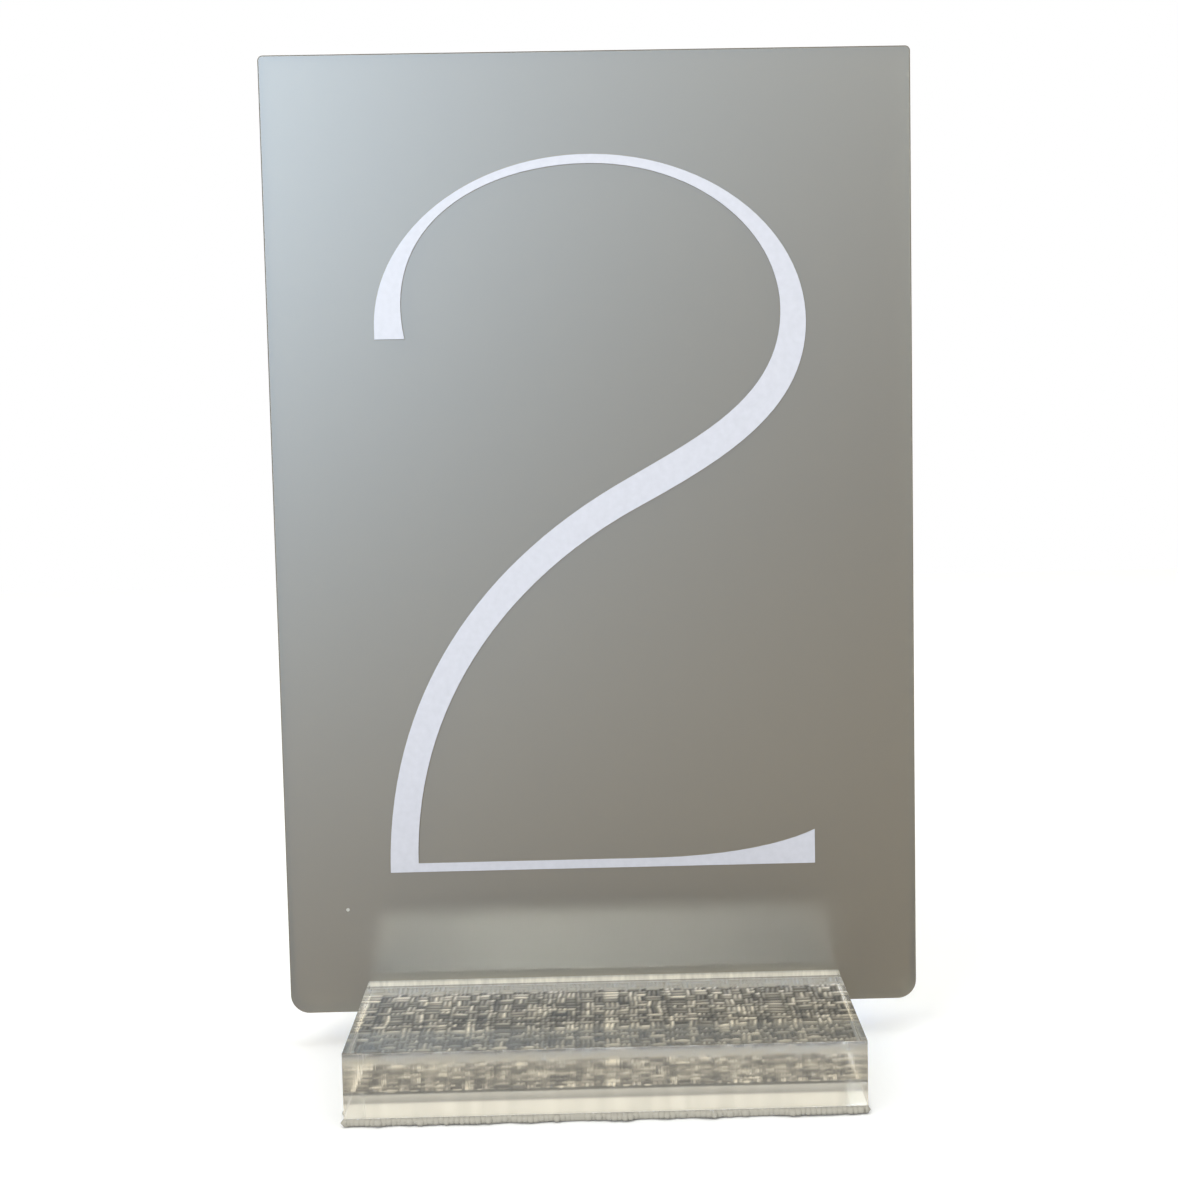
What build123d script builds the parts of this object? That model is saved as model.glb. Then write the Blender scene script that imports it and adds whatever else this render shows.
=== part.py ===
from build123d import *
import os

# Table number holder: a frosted sheet with a numeral, stood in a slotted clear block on a woven pad.
# Units are millimetres. +Z is up, the numeral faces -Y, and +X is to the reader's right.
# The origin is on the resting surface, under the middle of the base.

# Frosted number panel
PANEL_WIDTH = 101.6
PANEL_HEIGHT = 152.4
PANEL_THICKNESS = 6.0
PANEL_TOP_CORNER_RADIUS = 0.8
PANEL_BOTTOM_CORNER_RADIUS = 3.0
PANEL_EDGE_BREAK = 0.15

# Clear base block
BASE_SIDE = 76.2
BASE_THICKNESS = 9.8

# Slot that holds the panel, open at both ends of the block
SLOT_SIDE_CLEARANCE = 0.1
SLOT_DEPTH = 5.1

# Woven pad bonded under the block
PAD_THICKNESS = 1.2

# Numeral, cut from thin white film. Its heights are measured from the panel's bottom edge.
FILM_THICKNESS = 0.2
NUMERAL_HALF_WIDTH = 34.0
NUMERAL_BOTTOM = 22.9
NUMERAL_TOP = 136.5
BOWL_HEIGHT = 110.1
BOWL_INNER_HALF_WIDTH = 30.0
BOWL_INNER_HEIGHT = 111.9
STROKE_END_HEIGHT = 108.3
STROKE_END_WIDTH = 4.7
STEM_WIDTH = 4.5
HAIRLINE = 1.4
FOOT_TIP_RISE = 5.5
FOOT_OVERHANG = 0.5

# Sizes worked out from the ones above
SLOT_WIDTH = PANEL_THICKNESS + 2 * SLOT_SIDE_CLEARANCE
BASE_TOP = PAD_THICKNESS + BASE_THICKNESS
SLOT_FLOOR = BASE_TOP - SLOT_DEPTH


def make_woven_pad():
    """Flat square of thick woven cloth, with the same outline as the block above it."""
    return Box(BASE_SIDE, BASE_SIDE, PAD_THICKNESS, align=(Align.CENTER, Align.CENTER, Align.MIN))


def make_base_block():
    """Square clear block, cut with sharp edges, with one slot milled right across its top."""
    block = Box(BASE_SIDE, BASE_SIDE, BASE_THICKNESS, align=(Align.CENTER, Align.CENTER, Align.MIN))
    slot = Box(2 * BASE_SIDE, SLOT_WIDTH, 2 * SLOT_DEPTH)
    block = block - Pos(0, 0, BASE_THICKNESS) * slot
    return Pos(0, 0, PAD_THICKNESS) * block


def make_sign_panel():
    """Upright sheet with nearly square top corners and rounded bottom corners."""
    outline = Rectangle(PANEL_WIDTH, PANEL_HEIGHT, align=(Align.CENTER, Align.MIN))
    top_corners = outline.vertices().group_by(Axis.Y)[-1]
    outline = fillet(top_corners, PANEL_TOP_CORNER_RADIUS)
    bottom_corners = outline.vertices().group_by(Axis.Y)[0]
    outline = fillet(bottom_corners, PANEL_BOTTOM_CORNER_RADIUS)
    sheet = extrude(Plane.XZ * outline, PANEL_THICKNESS / 2, both=True)
    rims = sheet.faces().filter_by(Axis.Y).edges()
    sheet = chamfer(rims, PANEL_EDGE_BREAK)
    return Pos(0, 0, SLOT_FLOOR) * sheet


def numeral_outline():
    """Outline of a light, high-contrast 2, drawn flat: x across and y up from the panel's bottom edge."""
    right = NUMERAL_HALF_WIDTH
    left = -NUMERAL_HALF_WIDTH
    arch_rise = NUMERAL_TOP - BOWL_HEIGHT
    hairline_underside = NUMERAL_TOP - HAIRLINE
    foot_top = NUMERAL_BOTTOM + HAIRLINE
    foot_end = (right + FOOT_OVERHANG, NUMERAL_BOTTOM)
    foot_tip = (right + FOOT_OVERHANG, NUMERAL_BOTTOM + FOOT_TIP_RISE)
    flare_start = (8, foot_top)
    inner_corner = (left + STEM_WIDTH, foot_top)
    outer_bowl = (right, BOWL_HEIGHT)
    inner_bowl = (BOWL_INNER_HALF_WIDTH, BOWL_INNER_HEIGHT)
    inner_arch_top = (0, hairline_underside)
    stroke_end = (left + STROKE_END_WIDTH, STROKE_END_HEIGHT)
    stem_left_middle = (3.3, 84.5)
    stem_right_middle = (6.8, 81.0)
    with BuildLine() as outline:
        EllipticalCenterArc((0, BOWL_HEIGHT), right, arch_rise, arc_size=180)
        Polyline((left, BOWL_HEIGHT), (left, STROKE_END_HEIGHT), stroke_end)
        Bezier(stroke_end, (-32.9, 126.5), (-16.2, hairline_underside), inner_arch_top)
        Bezier(inner_arch_top, (17.0, hairline_underside), (BOWL_INNER_HALF_WIDTH, 124.4), inner_bowl)
        Bezier(inner_bowl, (BOWL_INNER_HALF_WIDTH, 97.5), (15.7, 91.6), stem_left_middle)
        Bezier(stem_left_middle, (-20.9, 70.6), (left, 49.3), (left, NUMERAL_BOTTOM))
        Polyline((left, NUMERAL_BOTTOM), foot_end, foot_tip)
        Bezier(foot_tip, (28.1, 25.5), (18.1, foot_top), flare_start)
        Line(flare_start, inner_corner)
        Bezier(inner_corner, (left + STEM_WIDTH, 51.5), (-12.8, 70.7), stem_right_middle)
        Bezier(stem_right_middle, (21.3, 88.6), (right, 96.1), outer_bowl)
    return outline.edges()


def make_numeral():
    """Thin film numeral, stuck to the panel's front face."""
    film = extrude(Plane.XZ * make_face(numeral_outline()), FILM_THICKNESS)
    return Pos(0, -PANEL_THICKNESS / 2, SLOT_FLOOR) * film


def write_part(name, shape):
    """Write one sub-part as its own STEP file."""
    shape.label = name
    export_step(shape, f"parts/{name}.step")


os.makedirs("parts", exist_ok=True)
write_part("woven_pad", make_woven_pad())
write_part("base_block", make_base_block())
write_part("sign_panel", make_sign_panel())
write_part("numeral", make_numeral())
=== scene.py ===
import math
import random

import bmesh
import bpy
from mathutils import Matrix, Vector, noise


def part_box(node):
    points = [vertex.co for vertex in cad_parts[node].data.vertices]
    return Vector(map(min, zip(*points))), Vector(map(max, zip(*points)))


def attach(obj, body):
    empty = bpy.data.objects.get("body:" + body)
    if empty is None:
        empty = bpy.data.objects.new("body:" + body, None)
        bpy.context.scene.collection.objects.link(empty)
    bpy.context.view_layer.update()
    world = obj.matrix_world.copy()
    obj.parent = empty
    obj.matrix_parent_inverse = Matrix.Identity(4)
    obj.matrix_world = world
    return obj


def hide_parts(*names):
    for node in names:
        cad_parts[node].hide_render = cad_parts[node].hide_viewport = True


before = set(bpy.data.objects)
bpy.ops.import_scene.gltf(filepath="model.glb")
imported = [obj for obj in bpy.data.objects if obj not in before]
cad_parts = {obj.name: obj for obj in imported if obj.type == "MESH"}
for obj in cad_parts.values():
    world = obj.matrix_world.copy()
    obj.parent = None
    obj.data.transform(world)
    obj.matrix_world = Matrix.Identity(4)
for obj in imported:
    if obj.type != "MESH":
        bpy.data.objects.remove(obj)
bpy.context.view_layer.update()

# ---------------------------------------------------------------- sizes, in metres, from the frame
MM = 0.001
PAD_LOW, PAD_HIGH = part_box("woven_pad")
BLOCK_LOW, BLOCK_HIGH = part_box("base_block")
PANEL_LOW, PANEL_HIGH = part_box("sign_panel")
SLOT_HALF_WIDTH = (PANEL_HIGH.y - PANEL_LOW.y) / 2 + 0.1 * MM
SLOT_FLOOR = PANEL_LOW.z


# ---------------------------------------------------------------- camera, floor and lights
def make_camera():
    """The photograph's view: high up the sign, tipped down, and turned and rolled a little."""
    data = bpy.data.cameras.new("camera")
    data.sensor_width = 36
    data.lens = 60.5
    data.shift_x = -0.0416
    data.shift_y = -0.0205
    data.clip_start = 0.01
    roll = Matrix.Rotation(math.radians(1.21), 4, "Y")
    pitch = Matrix.Rotation(math.radians(-5.24), 4, "X")
    yaw = Matrix.Rotation(math.radians(-1.25), 4, "Z")
    upright = Matrix.Rotation(math.radians(90), 4, "X")
    camera = bpy.data.objects.new("camera", data)
    place = Matrix.Translation((0.5 * MM, -317.1 * MM, 106.7 * MM))
    camera.matrix_world = place @ roll @ pitch @ yaw @ upright
    bpy.context.scene.collection.objects.link(camera)
    bpy.context.scene.camera = camera


def make_light(name, place, target, width, height, power, colour):
    """A soft rectangular lamp at place, facing target."""
    data = bpy.data.lights.new(name, "AREA")
    data.shape = "RECTANGLE"
    data.size = width
    data.size_y = height
    data.energy = power
    data.color = colour
    lamp = bpy.data.objects.new(name, data)
    lamp.location = place
    lamp.rotation_mode = "QUATERNION"
    lamp.rotation_quaternion = (Vector(target) - Vector(place)).to_track_quat("-Z", "Y")
    lamp.visible_camera = False
    lamp.visible_transmission = False
    bpy.context.scene.collection.objects.link(lamp)
    return lamp


def light_only(lamps, objects):
    """Limits lamps to those objects."""
    receivers = bpy.data.collections.new("lit_by_" + lamps[0].name)
    for item in objects:
        receivers.objects.link(item)
    for lamp in lamps:
        lamp.light_linking.receiver_collection = receivers


def make_studio():
    """Plain pale floor, white surroundings and soft lamps. Returns the low lamp and the back lamps."""
    world = bpy.data.worlds.new("studio")
    world.use_nodes = True
    nodes, links = world.node_tree.nodes, world.node_tree.links
    room = nodes["Background"]
    room.inputs["Color"].default_value = (1.0, 0.97, 0.9, 1)
    room.inputs["Strength"].default_value = 0.8
    backdrop = add(nodes, "ShaderNodeBackground")
    backdrop.inputs["Color"].default_value = (1, 1, 1, 1)
    backdrop.inputs["Strength"].default_value = 1.0
    seen = add(nodes, "ShaderNodeLightPath")
    mix = add(nodes, "ShaderNodeMixShader")
    links.new(seen.outputs["Is Camera Ray"], mix.inputs[0])
    links.new(room.outputs[0], mix.inputs[1])
    links.new(backdrop.outputs[0], mix.inputs[2])
    links.new(mix.outputs[0], nodes["World Output"].inputs["Surface"])
    bpy.context.scene.world = world
    bpy.context.scene.view_settings.view_transform = "Standard"
    half = 0.75
    mesh = bpy.data.meshes.new("floor")
    corners = [(-half, -half, 0), (half, -half, 0), (half, half, 0), (-half, half, 0)]
    mesh.from_pydata(corners, [], [(0, 1, 2, 3)])
    floor = bpy.data.objects.new("floor", mesh)
    bpy.context.scene.collection.objects.link(floor)
    material, nodes, links, shader = new_material("floor_white")
    shader.inputs["Base Color"].default_value = (0.93, 0.955, 0.99, 1)
    shader.inputs["Roughness"].default_value = 0.9
    shader.inputs["Specular IOR Level"].default_value = 0.0
    shader.inputs["Emission Color"].default_value = (1, 1, 1, 1)
    shader.inputs["Emission Strength"].default_value = 0.05
    mesh.materials.append(material)
    middle, foot = (0, 0, 0.08), (0, 0, 0.01)
    fill = make_light("fill", (-0.5, -0.7, 0.8), middle, 0.5, 0.5, 4.0, (1.0, 0.98, 0.93))
    overhead = make_light("overhead", (0, 0, 1.2), (0, 0, 0), 1.6, 1.6, 6.0, (1.0, 0.98, 0.95))
    window = make_light("window", (-0.42, -0.864, 0.356), middle, 0.4, 0.4, 51, (0.65, 0.82, 1.0))
    opening = make_light("opening", (0.205, -0.823, 0.61), middle, 0.4, 0.4, 16, (0.87, 0.96, 1.0))
    back = make_light("back", (0.01, 1.1, 0.315), foot, 0.3, 0.09, 11.0, (0.47, 0.6, 1.0))
    back_left = make_light("back_left", (-0.085, 1.1, 0.315), foot, 0.12, 0.08, 62.0, (0.47, 0.62, 1.0))
    low = make_light("low", (-0.1, -0.8, 0.5), (0, 0, 0), 0.5, 0.5, 5.0, (1.0, 0.98, 0.93))
    for lamp in (fill, overhead, low):
        lamp.visible_glossy = False
    for lamp in (window, opening, back, back_left):
        lamp.visible_diffuse = False
    light_only((window, opening), [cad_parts["sign_panel"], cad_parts["numeral"]])
    return low, (back, back_left)


# ---------------------------------------------------------------- node helpers
def new_material(name):
    """A node material, with its nodes, its links and its Principled shader."""
    material = bpy.data.materials.new(name)
    material.use_nodes = True
    nodes = material.node_tree.nodes
    return material, nodes, material.node_tree.links, nodes["Principled BSDF"]


def add(nodes, kind, **values):
    """A new node of one kind, with its properties set."""
    node = nodes.new(kind)
    for name, value in values.items():
        setattr(node, name, value)
    return node


def math_node(nodes, links, operation, *values):
    """A Math node's output; its values are sockets or numbers."""
    node = add(nodes, "ShaderNodeMath", operation=operation)
    for socket, value in zip(node.inputs, values):
        if isinstance(value, (int, float)):
            socket.default_value = value
        else:
            links.new(value, socket)
    return node.outputs[0]


def object_position(nodes, links, scale=(1, 1, 1)):
    """Object coordinates, which are the frame's metres, stretched by scale."""
    coordinates = add(nodes, "ShaderNodeTexCoord")
    mapping = add(nodes, "ShaderNodeMapping")
    mapping.inputs["Scale"].default_value = scale
    links.new(coordinates.outputs["Object"], mapping.inputs["Vector"])
    return mapping.outputs[0]


def noise_value(nodes, links, vector, scale, detail=2.0, roughness=0.5):
    """A Noise texture's value at that scale, in cycles per metre."""
    node = add(nodes, "ShaderNodeTexNoise")
    node.inputs["Scale"].default_value = scale
    node.inputs["Detail"].default_value = detail
    node.inputs["Roughness"].default_value = roughness
    links.new(vector, node.inputs["Vector"])
    return node.outputs[0]


def ramp(nodes, links, value, stops):
    """A colour ramp over value; stops are (position, colour)."""
    node = add(nodes, "ShaderNodeValToRGB")
    band = node.color_ramp
    while len(band.elements) < len(stops):
        band.elements.new(0.5)
    for element, (position, colour) in zip(band.elements, stops):
        element.position = position
        element.color = (*colour, 1)
    links.new(value, node.inputs[0])
    return node.outputs[0]


def bump(nodes, links, height, strength, distance, shader):
    """Bumps the shader's normal by height, in metres of distance."""
    node = add(nodes, "ShaderNodeBump")
    node.inputs["Strength"].default_value = strength
    node.inputs["Distance"].default_value = distance
    links.new(height, node.inputs["Height"])
    links.new(node.outputs[0], shader.inputs["Normal"])


def let_lamps_through(material, nodes, links, shader, share, colour):
    """Lamps shine through the surface: shadow rays see share of it as a clear filter of that colour."""
    output = nodes["Material Output"]
    path = add(nodes, "ShaderNodeLightPath")
    clear = add(nodes, "ShaderNodeBsdfTransparent")
    clear.inputs["Color"].default_value = (*colour, 1)
    mix = add(nodes, "ShaderNodeMixShader")
    links.new(math_node(nodes, links, "MULTIPLY", path.outputs["Is Shadow Ray"], share), mix.inputs[0])
    links.new(shader.outputs[0], mix.inputs[1])
    links.new(clear.outputs[0], mix.inputs[2])
    links.new(mix.outputs[0], output.inputs["Surface"])


# ---------------------------------------------------------------- materials
IOR = 1.49                  # acrylic
FRONT_ROUGHNESS = 0.48      # of the frosted panel
BACK_ROUGHNESS = 0.20
CREAM = (1.0, 0.965, 0.86)  # the slot walls' tint


def clear_acrylic(name, roughness, milkiness=0.0, striped_along=None):
    """Clear acrylic. A cut face has fine upright stripes from the cutter, side by side along that axis.

    milkiness is the share of light that the face scatters.
    """
    material, nodes, links, shader = new_material(name)
    shader.inputs["Base Color"].default_value = (0.975, 0.965, 0.93, 1)
    shader.inputs["Transmission Weight"].default_value = 1.0 - milkiness
    shader.inputs["IOR"].default_value = IOR
    shader.inputs["Roughness"].default_value = roughness
    if striped_along:
        stretch = {"x": (1, 0.0, 0.04), "y": (0.0, 1, 0.04)}[striped_along]
        position = object_position(nodes, links, stretch)
        stripes = noise_value(nodes, links, position, 1900, 3, 0.65)
        bump(nodes, links, stripes, 0.25, 0.00012, shader)
    let_lamps_through(material, nodes, links, shader, 1.0, (0.95, 0.955, 0.94))
    return material


def frosted_slot(name, tones, clearness=0.0):
    """A matt cream wall of the milled slot, ribbed by the cutter, with light and shade painted on by
    height.

    The wall's brightness at five heights, from the slot's floor to the block's top, is painted light
    and shade given as the first argument, and clearness is the share of light that the wall lets
    through.
    """
    material, nodes, links, shader = new_material(name)
    position = object_position(nodes, links)
    place = add(nodes, "ShaderNodeSeparateXYZ")
    links.new(position, place.inputs[0])
    top = BLOCK_HIGH.z
    heights = (SLOT_FLOOR, SLOT_FLOOR + 1.3 * MM, SLOT_FLOOR + 1.5 * MM, top - 1.8 * MM, top)
    share = math_node(nodes, links, "DIVIDE", place.outputs["Z"], top)
    # painted light and shade: the wall's colour steps lighter and darker with height
    stops = [(z / top, [tone * tint for tint in CREAM]) for z, tone in zip(heights, tones)]
    ribs = noise_value(nodes, links, object_position(nodes, links, (1, 0.0, 0.05)), 1100, 3, 0.6)
    stripes = ramp(nodes, links, ribs, [(0.35, (0.78, 0.78, 0.78)), (0.65, (1, 1, 1))])
    mix = add(nodes, "ShaderNodeVectorMath", operation="MULTIPLY")
    links.new(ramp(nodes, links, share, stops), mix.inputs[0])
    links.new(stripes, mix.inputs[1])
    links.new(mix.outputs[0], shader.inputs["Base Color"])
    shader.inputs["Roughness"].default_value = 0.8
    shader.inputs["Specular IOR Level"].default_value = 0.0
    shader.inputs["Transmission Weight"].default_value = clearness
    bump(nodes, links, ribs, 0.5, 0.0001, shader)
    let_lamps_through(material, nodes, links, shader, 0.6, (0.9, 0.88, 0.8))
    return material


def frosted_panel():
    """Grey satin acrylic: a tinted sheet, rougher in front than behind, with a few dust specks."""
    material, nodes, links, shader = new_material("frosted_panel")
    position = object_position(nodes, links)
    cloud = noise_value(nodes, links, position, 9, 2)
    grain = noise_value(nodes, links, position, 2600, 2)
    tint = ramp(nodes, links, cloud, [(0.2, (0.14, 0.106, 0.056)), (0.8, (0.153, 0.117, 0.062))])
    dust = add(nodes, "ShaderNodeTexVoronoi")
    dust.inputs["Scale"].default_value = 38
    links.new(position, dust.inputs["Vector"])
    specks = math_node(nodes, links, "LESS_THAN", dust.outputs["Distance"], 0.011)
    dusty = add(nodes, "ShaderNodeMixRGB")
    dusty.inputs[2].default_value = (0.8, 0.8, 0.78, 1)
    links.new(specks, dusty.inputs[0])
    links.new(tint, dusty.inputs[1])
    links.new(dusty.outputs[0], shader.inputs["Base Color"])
    shader.inputs["Transmission Weight"].default_value = 0.75
    shader.inputs["IOR"].default_value = IOR
    depth = add(nodes, "ShaderNodeSeparateXYZ")
    links.new(position, depth.inputs[0])
    behind = math_node(nodes, links, "GREATER_THAN", depth.outputs["Y"], 0.0)
    step = BACK_ROUGHNESS - FRONT_ROUGHNESS
    roughness = math_node(nodes, links, "MULTIPLY_ADD", behind, step, FRONT_ROUGHNESS)
    links.new(roughness, shader.inputs["Roughness"])
    bump(nodes, links, grain, 0.02, 0.00004, shader)
    let_lamps_through(material, nodes, links, shader, 0.6, (0.5, 0.47, 0.42))
    return material


def white_film():
    """Matt bluish white film with a faint grain."""
    material, nodes, links, shader = new_material("white_film")
    position = object_position(nodes, links)
    grain = noise_value(nodes, links, position, 900, 3)
    tint = ramp(nodes, links, grain, [(0.3, (0.54, 0.555, 0.63)), (0.7, (0.575, 0.59, 0.67))])
    links.new(tint, shader.inputs["Base Color"])
    shader.inputs["Roughness"].default_value = 0.5
    shader.inputs["Specular IOR Level"].default_value = 0.25
    bump(nodes, links, grain, 0.1, 0.00003, shader)
    return material


def woven_cloth():
    """Woven yarns whose tone is set on the mesh, with painted light and shade in it, and fine fibres
    across it.
    """
    material, nodes, links, shader = new_material("woven_cloth")
    tone = add(nodes, "ShaderNodeAttribute", attribute_name="yarn_tone_and_shade")
    position = object_position(nodes, links)
    fibres = noise_value(nodes, links, position, 5200, 3, 0.7)
    shade = math_node(nodes, links, "MULTIPLY_ADD", fibres, 0.35, 0.82)
    scaled = add(nodes, "ShaderNodeVectorMath", operation="SCALE")
    links.new(tone.outputs["Color"], scaled.inputs[0])
    links.new(shade, scaled.inputs["Scale"])
    links.new(scaled.outputs[0], shader.inputs["Base Color"])
    shader.inputs["Roughness"].default_value = 0.95
    shader.inputs["Specular IOR Level"].default_value = 0.0
    bump(nodes, links, fibres, 0.4, 0.0001, shader)
    return material


# ---------------------------------------------------------------- pieces
def new_piece(name, mesh, body, materials):
    """Links a mesh as a piece that rides on a body."""
    piece = bpy.data.objects.new(name, mesh)
    bpy.context.scene.collection.objects.link(piece)
    for material in materials:
        mesh.materials.append(material)
    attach(piece, body)
    return piece


# The block's materials, in the order of its slots. Polished faces have the first one.
POLISHED, CUT_FRONT, CUT_SIDE, SLOT_FRONT, SLOT_REAR, CUT_REAR = range(6)


def make_block():
    """The slotted clear block, with fine rounded edges, cut sides and a frosted slot."""
    half, low, top, slot = BLOCK_HIGH.y, BLOCK_LOW.z, BLOCK_HIGH.z, SLOT_HALF_WIDTH
    profile = [(-half, low), (half, low), (half, top), (slot, top)]
    profile += [(slot, SLOT_FLOOR), (-slot, SLOT_FLOOR), (-slot, top), (-half, top)]
    solid = bmesh.new()
    ends = []
    for x in (BLOCK_LOW.x, BLOCK_HIGH.x):
        ends.append([solid.verts.new((x, y, z)) for y, z in profile])
    count = len(profile)
    solid.faces.new(ends[0])
    solid.faces.new(ends[1][::-1])
    for i in range(count):
        j = (i + 1) % count
        solid.faces.new((ends[0][j], ends[0][i], ends[1][i], ends[1][j]))
    bmesh.ops.recalc_face_normals(solid, faces=solid.faces)
    convex = [e for e in solid.edges if e.calc_face_angle_signed() > 0.1]
    bmesh.ops.bevel(solid, geom=convex, offset=0.1 * MM, segments=2, profile=0.5, affect="EDGES")
    for face in solid.faces:
        middle = face.calc_center_median()
        in_slot = abs(middle.y) < SLOT_HALF_WIDTH + 0.01 * MM and middle.z > SLOT_FLOOR - 0.01 * MM
        if in_slot and abs(face.normal.x) < 0.5:
            face.material_index = SLOT_FRONT if middle.y < 1 * MM else SLOT_REAR
        elif abs(face.normal.y) > 0.9:
            face.material_index = CUT_FRONT if middle.y < 0 else CUT_REAR
        elif abs(face.normal.x) > 0.9:
            face.material_index = CUT_SIDE
    mesh = bpy.data.meshes.new("clear_block")
    solid.to_mesh(mesh)
    solid.free()
    faces = {
        POLISHED: clear_acrylic("acrylic_polished", 0.0),
        CUT_FRONT: clear_acrylic("acrylic_cut_front", 0.11, 0.05, "x"),
        CUT_SIDE: clear_acrylic("acrylic_cut_side", 0.06, 0.04, "y"),
        # painted light and shade: the front wall's brightness changes with height
        SLOT_FRONT: frosted_slot("slot_front", (0.64, 0.32, 0.9, 0.88, 0.5)),
        SLOT_REAR: frosted_slot("slot_rear", (0.97,) * 5, 1.0),
        CUT_REAR: clear_acrylic("acrylic_cut_rear", 0.0, 0.04, "x"),
    }
    block = new_piece("clear_block", mesh, "base", faces.values())
    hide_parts("base_block")
    return block


def dress(node, material):
    """Gives a CAD node's object its material."""
    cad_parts[node].material_slots[0].material = material


# ---------------------------------------------------------------- the woven pad
WARPS = 100   # yarns that run front to back
WEFTS = 60    # yarns that run left to right
STEPS = 2     # mesh steps across one yarn
PAD_SIDE = PAD_HIGH.x - PAD_LOW.x
RELIEF = 0.3 * MM              # from the gaps to the yarns' crowns
BONDED_HALF_DEPTH = 21.5 * MM  # the cloth touches the block this far from the middle
BOND_FADE = 1 * MM
BONDED_RISE = 0.3              # mm that the bonded crowns reach into the block
FREE_DROP = 0.35               # mm that the crowns sink where the cloth is free
DRIFT_ALONG_X = 0.3 * MM       # how far the yarns wander
DRIFT_ALONG_Y = 0.45 * MM
YARN_SHADES = (0.6, 0.5, 0.38, 0.22)
CLOTH_TINT = (1.0, 0.91, 0.73)
CLOTH_GAIN = 1.35
BRIGHTEST_CLOTH = 0.95
PAINTED_MARGIN_SHADE = 0.62            # painted shade: how much darker the free cloth beside the bonded cloth is painted
# painted light: the pad's rim is painted bright to lift the shade under the block's bottom edge
PAINTED_LIGHT_RIM_TONE = 0.9
STRIPE_HALF_DEPTH = SLOT_HALF_WIDTH
STRIPE_COLOUR = (0.46, 0.42, 0.33)


def yarn_profile(place, steps):
    """0 in the gap beside a yarn, or at the end of a float, and 1 on its crown."""
    return max(0.0, math.sin(math.pi * (place % steps) / steps)) ** 0.6


def group_yarns(chance, count, sizes):
    """Which group each yarn is in, and every group's first yarn and size.

    A group of yarns passes over and under together.
    """
    groups, starts = [], []
    while len(groups) < count:
        size = min(chance.choice(sizes), count - len(groups))
        starts.append((len(groups), size))
        groups += [len(starts) - 1] * size
    return groups, starts


def plan_weave():
    """The pad's pattern: which yarns go together, which lie on top where, and every float's tone."""
    chance = random.Random(11)
    plan = {"up": {}, "tone": {}}
    for kind, count, sizes in (("warp", WARPS, (1, 2, 2, 3)), ("weft", WEFTS, (1, 2, 2))):
        plan[kind] = group_yarns(chance, count, sizes)
        shades = [chance.choice(YARN_SHADES) for _ in range(count)]
        for yarn in range(count):
            for cell in range(max(WARPS, WEFTS)):
                plan["tone"][kind, yarn, cell] = shades[yarn] * chance.uniform(0.3, 1.4)
    for i in range(len(plan["warp"][1])):
        for j in range(len(plan["weft"][1])):
            plan["up"][i, j] = ((i + j) % 2 == 0) != (chance.random() < 0.1)
    return plan


def weave(column, row, plan):
    """Height from 0 to 1 and tone of the basket weave at a mesh point, with painted shade where the
    height is low.
    """
    warp, weft = min(column // STEPS, WARPS - 1), min(row // STEPS, WEFTS - 1)
    i, j = plan["warp"][0][warp], plan["weft"][0][weft]
    if plan["up"][i, j]:
        key, (start, size), run, side = ("warp", warp, j), plan["weft"][1][j], row, column
    else:
        key, (start, size), run, side = ("weft", weft, i), plan["warp"][1][i], column, row
    along = yarn_profile(run - start * STEPS, size * STEPS)
    across = yarn_profile(side, STEPS)
    height = across * (0.4 + 0.6 * along)
    # painted shade: the tone is darker where the yarn is low, in the gaps between yarns and at the
    # floats' ends
    return height, plan["tone"][key] * (0.3 + 0.7 * height)


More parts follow.
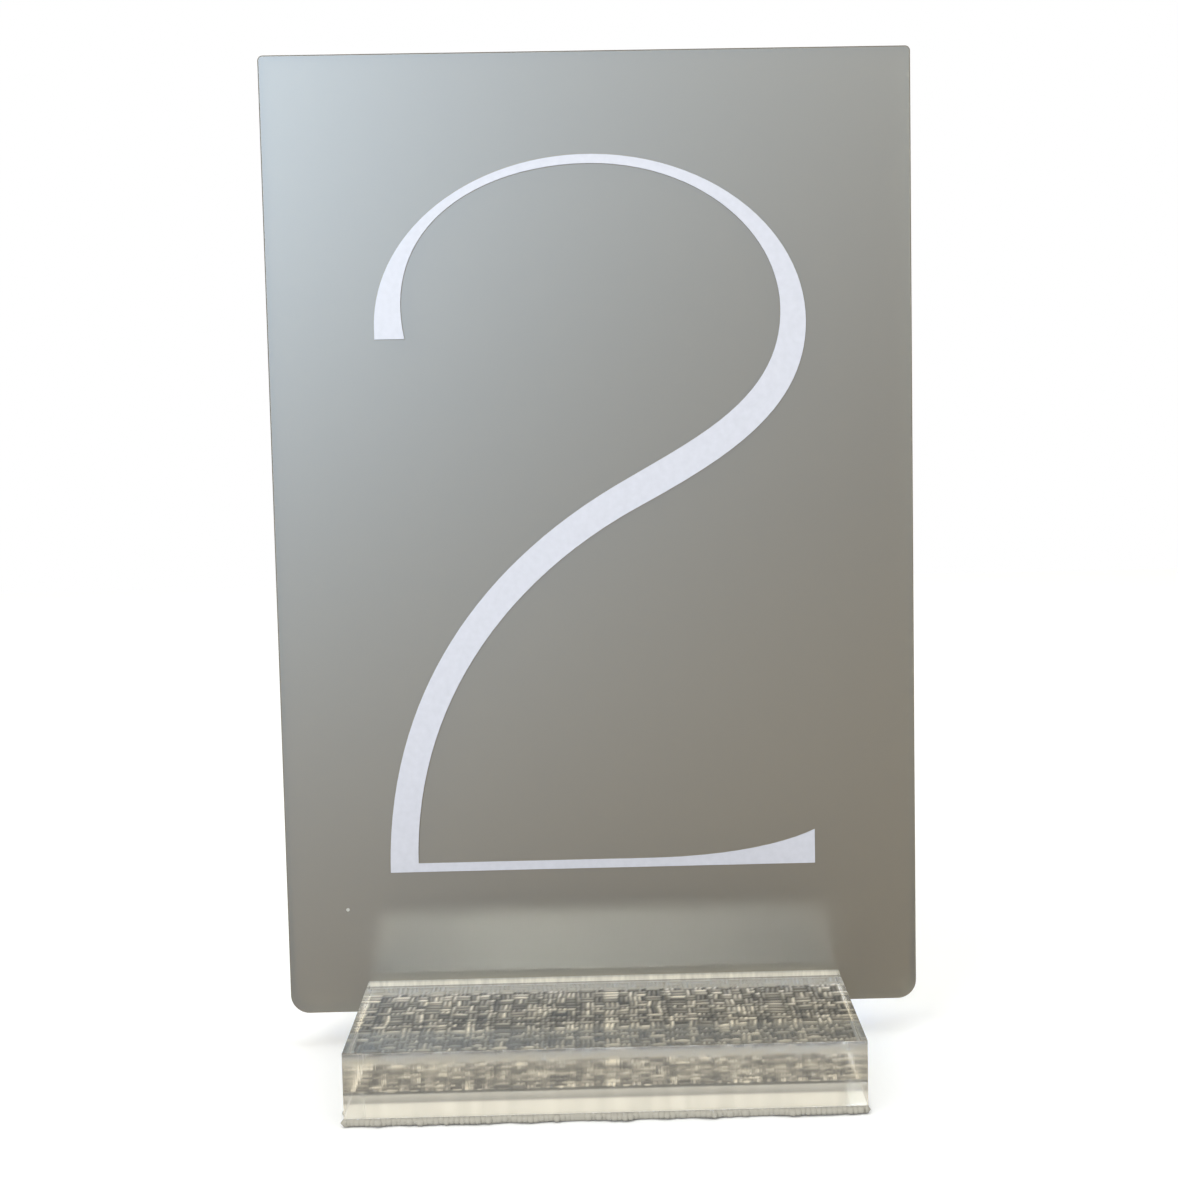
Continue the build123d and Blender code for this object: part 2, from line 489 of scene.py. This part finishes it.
def make_pad():
    """The woven pad: a closed sheet with the yarns' relief on both sides and a tone at every point,
    which holds painted light and shade.
    """
    plan = plan_weave()
    columns, rows = WARPS * STEPS, WEFTS * STEPS
    points, colours, faces = [], [], []
    for side in (1, -1):
        for row in range(rows + 1):
            for column in range(columns + 1):
                x = PAD_LOW.x + PAD_SIDE * column / columns
                y = PAD_LOW.y + PAD_SIDE * row / rows
                height, tone = weave(column, row, plan)
                tone *= 1 + 0.6 * noise.noise(Vector((x, y, 0)) * 220)
                inside = 0 < column < columns and 0 < row < rows
                if inside:
                    spot = Vector((x, y, 0)) * 260
                    x += DRIFT_ALONG_X * noise.noise(spot + Vector((7.3, 2.1, 4.6)))
                    y += DRIFT_ALONG_Y * noise.noise(spot + Vector((1.9, 8.4, 2.7)))
                bonded = abs(y) < BONDED_HALF_DEPTH
                # painted shade: the free cloth beside the bonded band is darkened
                if not bonded:
                    tone *= PAINTED_MARGIN_SHADE
                # painted light on the pad's rim, where shade falls under the block's edge
                if not inside:
                    tone = PAINTED_LIGHT_RIM_TONE
                free = min(max((abs(y) - BONDED_HALF_DEPTH) / BOND_FADE + 1, 0.0), 1.0)
                crown = PAD_HIGH.z + (BONDED_RISE - FREE_DROP * free) * MM
                z = crown - RELIEF * (1 - height)
                if side < 0:
                    z = PAD_LOW.z + RELIEF * (1 - height)
                points.append((x, y, z))
                colour = [min(CLOTH_GAIN * tone, BRIGHTEST_CLOTH) * tint for tint in CLOTH_TINT]
                if side > 0 and abs(y) < STRIPE_HALF_DEPTH:
                    colour = STRIPE_COLOUR
                colours.append((*colour, 1))
    across = columns + 1
    layer = across * (rows + 1)
    for row in range(rows):
        for column in range(columns):
            a = row * across + column
            faces.append((a, a + 1, a + 1 + across, a + across))
            faces.append((layer + a, layer + a + across, layer + a + 1 + across, layer + a + 1))
    rim = list(range(across))
    rim += [r * across + columns for r in range(1, rows + 1)]
    rim += [rows * across + c for c in range(columns - 1, -1, -1)]
    rim += [r * across for r in range(rows - 1, 0, -1)]
    for i, a in enumerate(rim):
        b = rim[(i + 1) % len(rim)]
        faces.append((a, layer + a, layer + b, b))
    mesh = bpy.data.meshes.new("woven_cloth_pad")
    mesh.from_pydata(points, [], faces)
    paint = mesh.attributes.new("yarn_tone_and_shade", "FLOAT_COLOR", "POINT")
    paint.data.foreach_set("color", [value for colour in colours for value in colour])
    pad = new_piece("woven_cloth_pad", mesh, "base", [woven_cloth()])
    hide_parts("woven_pad")
    return pad


TUBE_SIDES = 6
YARN_END_HALF_HEIGHT = 0.6 * MM


def add_yarn_end(points, faces, start, step, side, radius, reach, droop):
    """A cut yarn end: a blunt tube from start that comes out along step and sinks by droop."""
    rings = [(-0.6, 0.0, 1.0), (0.0, -0.1, 1.0), (0.6, -0.55, 0.85), (1.0, -1.0, 0.35)]
    base = len(points)
    for forward, sink, size in rings:
        distance = forward * reach if forward > 0 else forward * 0.6 * MM
        centre = start + step * distance + Vector((0, 0, sink * droop))
        for k in range(TUBE_SIDES):
            turn = math.tau * k / TUBE_SIDES
            sideways = side * (math.cos(turn) * radius * size)
            upwards = Vector((0, 0, math.sin(turn) * YARN_END_HALF_HEIGHT * size))
            points.append(centre + (sideways + upwards))
    for ring in range(len(rings) - 1):
        first = base + TUBE_SIDES * ring
        for k in range(TUBE_SIDES):
            a, b = first + k, first + (k + 1) % TUBE_SIDES
            faces.append((a, b, b + TUBE_SIDES, a + TUBE_SIDES))
    faces.append(tuple(base + TUBE_SIDES - 1 - k for k in range(TUBE_SIDES)))
    last = base + TUBE_SIDES * (len(rings) - 1)
    faces.append(tuple(last + k for k in range(TUBE_SIDES)))


def make_fringe():
    """The cut yarn ends that stick out a little on the pad's four sides."""
    chance = random.Random(5)
    points, faces, tones = [], [], []
    x_axis, y_axis = Vector((1, 0, 0)), Vector((0, 1, 0))
    sides = [(y_axis, x_axis, WARPS), (x_axis, y_axis, WEFTS)]
    for out, along, count in sides:
        pitch = PAD_SIDE / count
        for sign in (-1, 1):
            for yarn in range(count):
                place = (yarn + 0.5) * pitch - PAD_SIDE / 2
                middle = Vector((0, 0, chance.uniform(0.62, 0.68) * MM))
                start = along * place + out * (sign * (PAD_SIDE / 2 - 0.1 * MM)) + middle
                swell = noise.noise(start * 330)
                reach = max(0.15, 0.45 + 0.7 * swell + chance.uniform(-0.2, 0.25)) * MM
                droop = chance.uniform(0.0, 0.15) * MM
                radius = pitch * chance.uniform(0.85, 1.15)
                before = len(points)
                add_yarn_end(points, faces, start, out * sign, along, radius, reach, droop)
                tone = chance.uniform(0.84, 0.9)
                tones += [tone] * (len(points) - before)
    mesh = bpy.data.meshes.new("yarn_ends")
    mesh.from_pydata(points, [], faces)
    mesh.update()
    fix = bmesh.new()
    fix.from_mesh(mesh)
    bmesh.ops.recalc_face_normals(fix, faces=fix.faces)
    fix.to_mesh(mesh)
    fix.free()
    mesh.shade_smooth()
    paint = mesh.attributes.new("yarn_tone_and_shade", "FLOAT_COLOR", "POINT")
    colours = [(tone, 0.96 * tone, 0.88 * tone, 1) for tone in tones]
    paint.data.foreach_set("color", [value for colour in colours for value in colour])
    return new_piece("yarn_ends", mesh, "base", [bpy.data.materials["woven_cloth"]])


make_camera()
low_lamp, back_lamps = make_studio()
block = make_block()
dress("sign_panel", frosted_panel())
dress("numeral", white_film())
pad = make_pad()
fringe = make_fringe()
light_only((low_lamp,), [block, pad, fringe])
light_only(back_lamps, [block])
